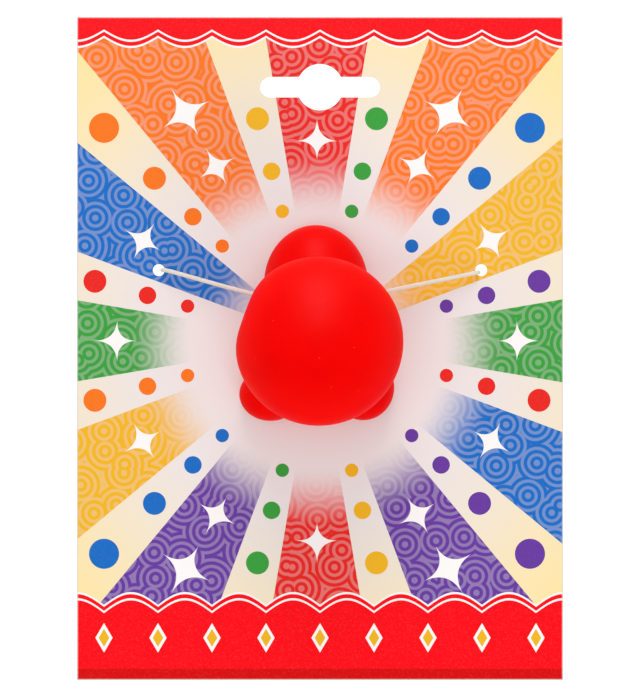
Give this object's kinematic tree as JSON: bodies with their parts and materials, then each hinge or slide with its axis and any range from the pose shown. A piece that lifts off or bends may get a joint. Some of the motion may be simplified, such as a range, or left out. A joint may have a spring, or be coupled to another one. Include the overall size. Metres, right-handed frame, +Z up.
{
  "type": "clown nose on display card",
  "caption": "Hollow red clown nose: a squeezable ball on a nose-shaped cup, tied by a round elastic to a flat display card with a hanging slot.",
  "frame": {"origin": "on the surface that the part lies on, under the middle of the card", "axes": "+X to the card's right, +Y to the card's top where the hanging slot is, +Z up out of the card's printed face along the nose"},
  "size_m": [0.1296, 0.1768, 0.0562],
  "materials": {
    "vinyl": "soft satin vinyl",
    "squeaker_plastic": "moulded satin",
    "card": "printed coated board",
    "elastic": "braided cord"
  },
  "bodies": {
    "root": {"nose_cup": "vinyl", "ball": "vinyl", "squeaker": "squeaker_plastic", "backing_card": "card", "elastic_cord": "elastic", "elastic_knot_left": "elastic", "elastic_knot_right": "elastic"}
  },
  "joints": []
}
